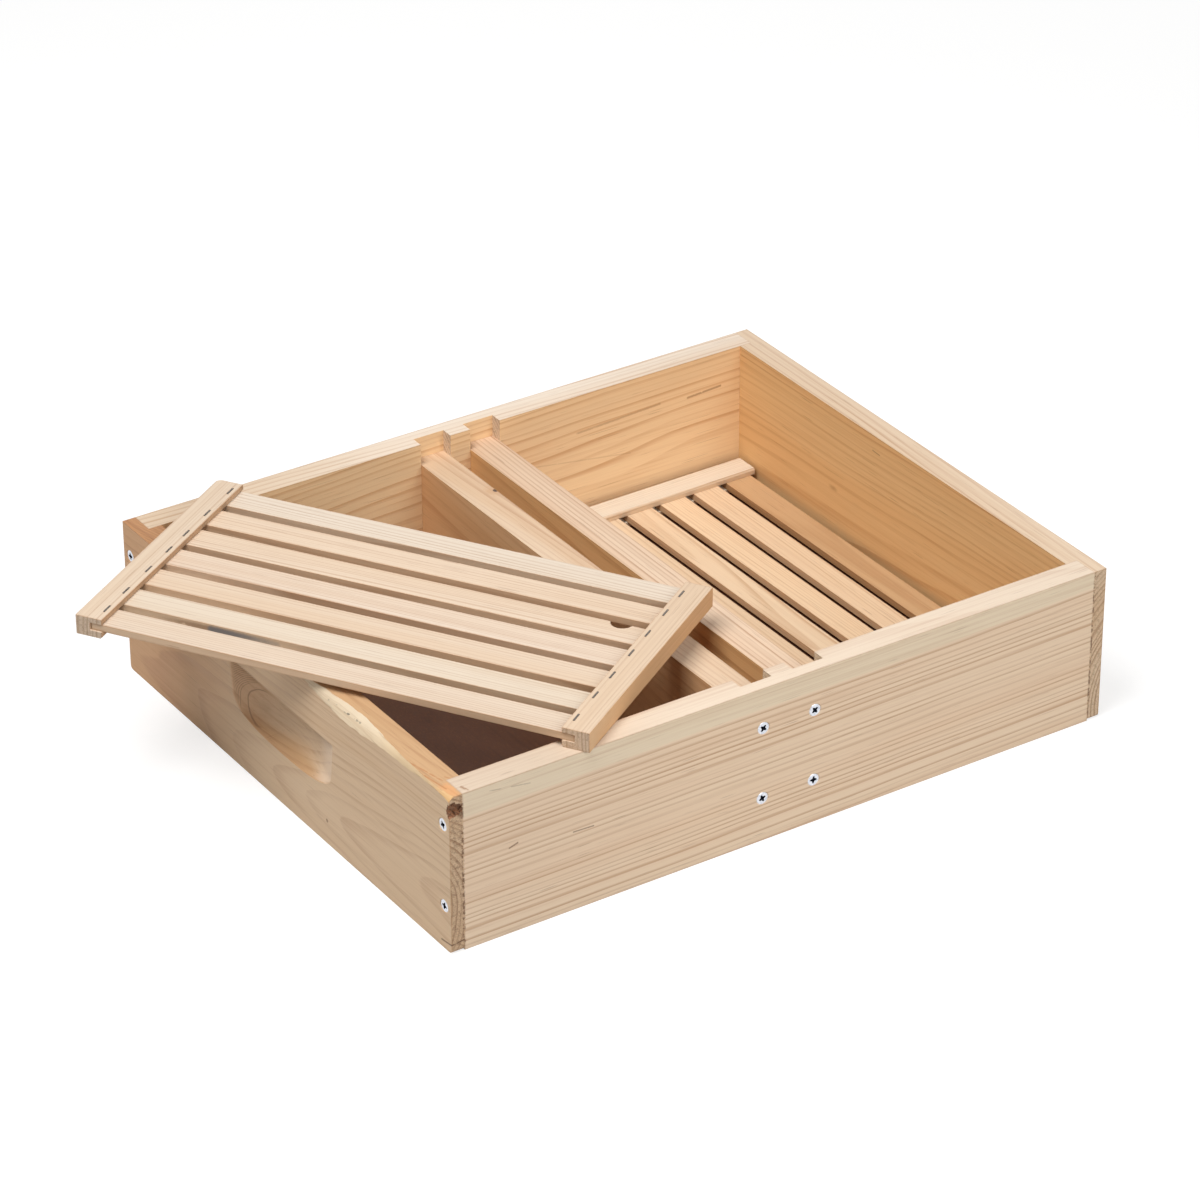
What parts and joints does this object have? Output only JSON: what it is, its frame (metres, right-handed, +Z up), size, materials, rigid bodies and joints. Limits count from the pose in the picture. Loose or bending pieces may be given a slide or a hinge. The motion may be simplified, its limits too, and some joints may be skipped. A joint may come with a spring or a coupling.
{
  "type": "hive top feeder",
  "caption": "Shallow open-topped wooden box that sits on a beehive: a central bee passage between two syrup reservoirs, each with a slatted wooden float.",
  "frame": {"origin": "middle of the bee passage, at the level of the bottom rim that stands on the hive body", "axes": "+X along the long side towards the reservoir that holds the seated float, +Y away from the long side with the nearer loose float, +Z up"},
  "size_m": [0.6031, 0.4166, 0.1287],
  "materials": {
    "box_wood": "planed bare softwood",
    "float_wood": "planed bare softwood",
    "hardboard": "smooth pressed face",
    "screws": "bright zinc plate",
    "staples": "bare wire"
  },
  "bodies": {
    "feeder_box": {"front_side": "box_wood", "rear_side": "box_wood", "left_end": "box_wood", "right_end": "box_wood", "left_divider": "box_wood", "right_divider": "box_wood", "left_floor": "hardboard", "right_floor": "hardboard", "left_end_screws": "screws", "right_end_screws": "screws", "front_side_screws": "screws", "rear_side_screws": "screws"},
    "seated_float": {"seated_float_front_cleat": "float_wood", "seated_float_rear_cleat": "float_wood", "seated_float_slat_1": "float_wood", "seated_float_slat_2": "float_wood", "seated_float_slat_3": "float_wood", "seated_float_slat_4": "float_wood", "seated_float_slat_5": "float_wood", "seated_float_slat_6": "float_wood", "seated_float_slat_7": "float_wood", "seated_float_front_staples": "staples", "seated_float_rear_staples": "staples"},
    "loose_float": {"loose_float_right_cleat": "float_wood", "loose_float_left_cleat": "float_wood", "loose_float_slat_1": "float_wood", "loose_float_slat_2": "float_wood", "loose_float_slat_3": "float_wood", "loose_float_slat_4": "float_wood", "loose_float_slat_5": "float_wood", "loose_float_slat_6": "float_wood", "loose_float_slat_7": "float_wood", "loose_float_right_staples": "staples", "loose_float_left_staples": "staples"}
  },
  "joints": [
    {"name": "seated_float_lift", "type": "slide", "parent": "feeder_box", "child": "seated_float", "axis": [0, 0, 1], "range_m": [0, 0.12]},
    {"name": "loose_float_lift", "type": "slide", "parent": "feeder_box", "child": "loose_float", "axis": [0, 0, 1], "range_m": [0, 0.1]}
  ]
}
